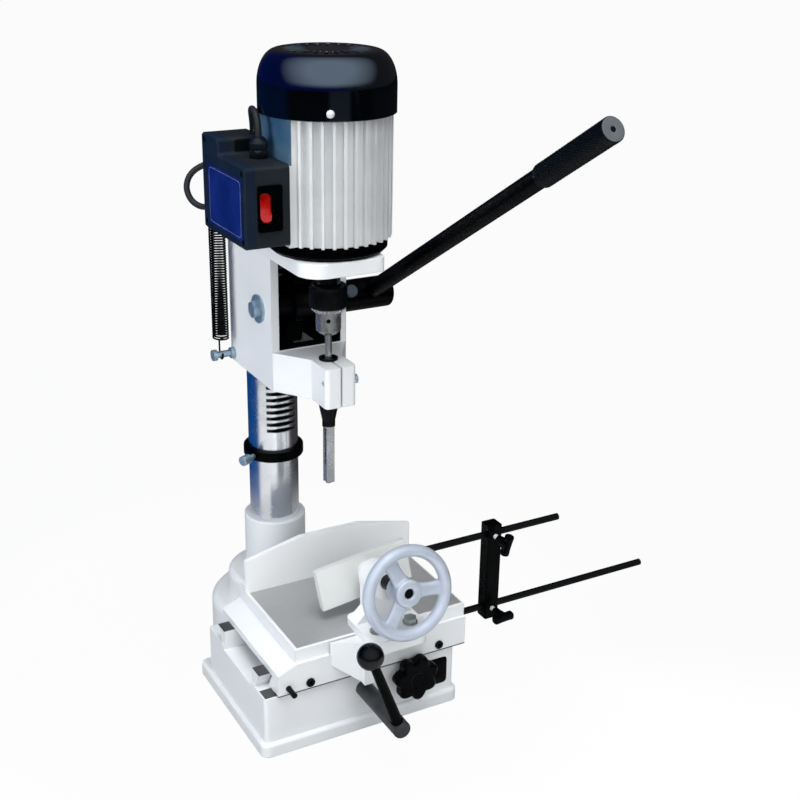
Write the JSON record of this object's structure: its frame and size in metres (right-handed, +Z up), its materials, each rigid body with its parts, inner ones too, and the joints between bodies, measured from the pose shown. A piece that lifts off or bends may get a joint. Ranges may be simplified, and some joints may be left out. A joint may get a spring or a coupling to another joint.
{
  "type": "bench hollow-chisel mortiser",
  "caption": "Bench mortiser: a lever-fed motor head on a racked column drives an auger inside a square hollow chisel over a sliding table with a handwheel vise and a rod stop.",
  "frame": {"origin": "middle of the base's footprint, on the plane of its underside", "axes": "+Z up along the column, +X to the operator's right along the table's travel, -Y towards the operator"},
  "size_m": [0.5225, 0.5889, 0.744],
  "materials": {
    "white_paint": "gloss white paint",
    "column_steel": "ground steel",
    "machined_steel": "machined steel",
    "tool_steel": "ground tool steel",
    "chuck_chrome": "plated steel",
    "zinc_plate": "bright zinc plate",
    "silver_paint": "silver paint on a casting",
    "motor_aluminium": "cast aluminium",
    "core_iron": "laminated iron",
    "black_paint": "black paint",
    "black_oxide": "black oxide",
    "gloss_black": "gloss black",
    "box_plastic": "dark slate plastic",
    "label_navy": "bare navy plate",
    "switch_red": "red rocker",
    "knob_plastic": "black moulding",
    "fan_plastic": "dark moulding",
    "grip_rubber": "knurled black rubber",
    "lead_rubber": "black sheath"
  },
  "bodies": {
    "base": {"base_casting": "white_paint", "column": "column_steel", "spring_bracket": "black_paint", "return_spring": "black_oxide"},
    "collar": {"depth_collar": "black_paint"},
    "collar_screw": {"collar_screw": "zinc_plate"},
    "head": {"head_casting": "white_paint", "nose_screw": "zinc_plate", "chisel_bush": "machined_steel", "mortise_chisel": "tool_steel", "pinion_housing": "black_paint", "housing_bolt": "zinc_plate", "motor_end_bell": "black_paint", "motor_shell": "motor_aluminium", "stator_core": "core_iron", "motor_bearings": "machined_steel", "fan_cover": "gloss_black", "fan_cover_screws": "zinc_plate", "motor_bolts": "zinc_plate", "control_box": "box_plastic", "box_cover": "box_plastic", "box_cover_screws": "black_oxide", "blank_plate": "label_navy", "switch_bezel": "box_plastic", "cable_glands": "box_plastic", "motor_lead": "lead_rubber", "spring_stud": "zinc_plate"},
    "lever": {"feed_pinion": "black_oxide", "pinion_shaft": "black_oxide", "shaft_end_bolt": "zinc_plate", "lever_hub": "black_paint", "feed_lever": "black_paint", "lever_grip": "grip_rubber"},
    "spindle": {"motor_rotor": "core_iron", "cooling_fan": "fan_plastic", "chuck_body": "chuck_chrome", "auger_bit": "tool_steel"},
    "chuck_sleeve": {"chuck_sleeve": "black_oxide"},
    "rocker": {"switch_rocker": "switch_red"},
    "table": {"table_casting": "white_paint", "gib_strip": "machined_steel", "gib_screws": "black_oxide", "lock_stud": "black_oxide", "table_rack": "machined_steel", "fence": "white_paint", "fence_bolts": "zinc_plate", "vise_body": "white_paint", "vise_bolts": "zinc_plate", "stop_guide_rod": "black_oxide"},
    "jaw": {"vise_jaw": "white_paint"},
    "wheel": {"vise_screw": "black_oxide", "handwheel": "silver_paint"},
    "crank": {"crank_shaft": "black_paint", "crank_arm": "black_paint", "crank_ball": "knob_plastic"},
    "lock_knob": {"star_knob": "knob_plastic"},
    "stop_carrier": {"stop_bar": "black_paint"},
    "stop_rod": {"stop_rod": "black_oxide"},
    "upper_wing_knob": {"upper_wing_knob": "knob_plastic"},
    "lower_wing_knob": {"lower_wing_knob": "knob_plastic"}
  },
  "joints": [
    {"name": "head_feed", "type": "slide", "parent": "base", "child": "head", "axis": [0, 0, 1], "range_m": [-0.05, 0], "stiffness_N_per_m": 700, "springref_m": 0.43, "deforming": ["return_spring"]},
    {"name": "lever_turn", "type": "hinge", "parent": "head", "child": "lever", "pos_m": [0, 0.0005, 0.46], "axis": [1, 0, 0], "range_deg": [-0.2, 57.5]},
    {"name": "spindle_spin", "type": "hinge", "parent": "head", "child": "spindle", "pos_m": [0, -0.0765, 0.6], "axis": [0, 0, 1], "continuous": true},
    {"name": "chuck_sleeve_turn", "type": "hinge", "parent": "spindle", "child": "chuck_sleeve", "pos_m": [0, -0.0765, 0.488], "axis": [0, 0, 1], "range_deg": [-360, 360]},
    {"name": "switch_rock", "type": "hinge", "parent": "head", "child": "rocker", "pos_m": [-0.0865, -0.111, 0.601], "axis": [1, 0, 0], "range_deg": [0, 20]},
    {"name": "collar_slide", "type": "slide", "parent": "base", "child": "collar", "axis": [0, 0, 1], "range_m": [-0.07, 0.055]},
    {"name": "collar_screw_turn", "type": "hinge", "parent": "collar", "child": "collar_screw", "pos_m": [0, 0.078, 0.254], "axis": [-0.9063, -0.4226, 0], "range_deg": [0, 360]},
    {"name": "table_slide", "type": "slide", "parent": "base", "child": "table", "axis": [1, 0, 0], "range_m": [-0.044, 0.022]},
    {"name": "crank_turn", "type": "hinge", "parent": "base", "child": "crank", "pos_m": [0.001, -0.2, 0.052], "axis": [0, 1, 0], "range_deg": [-84.2, 42.2]},
    {"name": "jaw_slide", "type": "slide", "parent": "table", "child": "jaw", "axis": [0, 0.9781, -0.2079], "range_m": [-0.005, 0.018]},
    {"name": "wheel_turn", "type": "hinge", "parent": "jaw", "child": "wheel", "pos_m": [0.028, -0.21, 0.1918], "axis": [0, 0.9781, -0.2079], "range_deg": [-451, 1621]},
    {"name": "lock_turn", "type": "hinge", "parent": "base", "child": "lock_knob", "pos_m": [0.058, -0.178, 0.058], "axis": [0, 1, 0], "range_deg": [0, 360]},
    {"name": "stop_bar_slide", "type": "slide", "parent": "table", "child": "stop_carrier", "axis": [1, 0, 0], "range_m": [-0.02, 0.2]},
    {"name": "stop_rod_slide", "type": "slide", "parent": "stop_carrier", "child": "stop_rod", "axis": [1, 0, 0], "range_m": [-0.012, 0.06]},
    {"name": "upper_wing_turn", "type": "hinge", "parent": "stop_carrier", "child": "upper_wing_knob", "pos_m": [0.172, -0.16, 0.201], "axis": [0, 1, 0], "range_deg": [0, 360]},
    {"name": "lower_wing_turn", "type": "hinge", "parent": "stop_carrier", "child": "lower_wing_knob", "pos_m": [0.172, -0.16, 0.106], "axis": [0, 1, 0], "range_deg": [0, 360]}
  ],
  "couplings": [
    {"joint": "lever_turn", "follows": "head_feed", "rad_per_m": -20},
    {"joint": "crank_turn", "follows": "table_slide", "rad_per_m": 33.333},
    {"joint": "wheel_turn", "follows": "jaw_slide", "rad_per_m": 1570.8}
  ]
}
